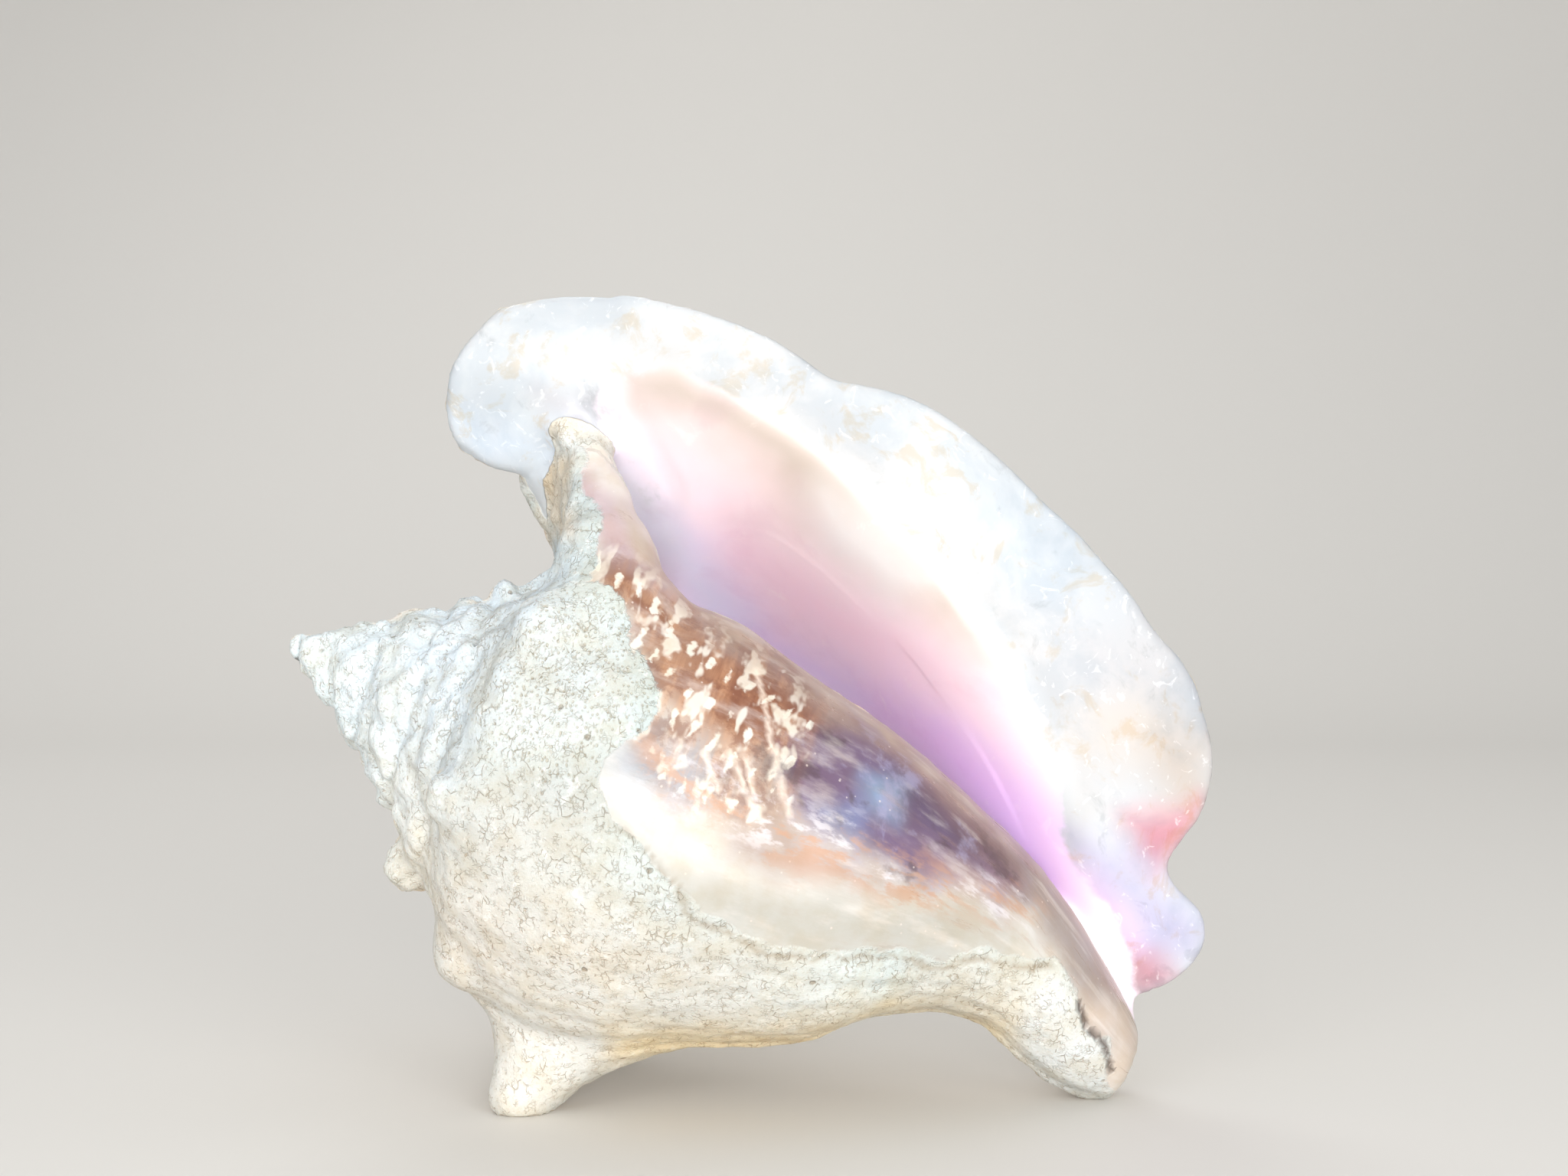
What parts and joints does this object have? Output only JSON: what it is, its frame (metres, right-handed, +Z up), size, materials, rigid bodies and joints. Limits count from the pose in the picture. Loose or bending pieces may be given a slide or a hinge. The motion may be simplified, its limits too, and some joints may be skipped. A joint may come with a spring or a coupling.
{
  "type": "conch shell",
  "caption": "Large spiral sea shell of the queen conch type, with a knobbed spire, a broad flared lip and a smooth open mouth, lying on its spines and canal tip.",
  "frame": {"origin": "middle of the shell's bounding box, on the surface that the shell lies on", "axes": "+Z up as the shell lies, +X from the spire towards the canal along its length, +Y from the mouth to the back"},
  "size_m": [0.2155, 0.1386, 0.1881],
  "materials": {
    "shell": "chalky weathered shell outside, glossy pink and cream nacre inside the mouth and lip"
  },
  "bodies": {
    "root": {"conch_shell": "shell"}
  },
  "joints": []
}
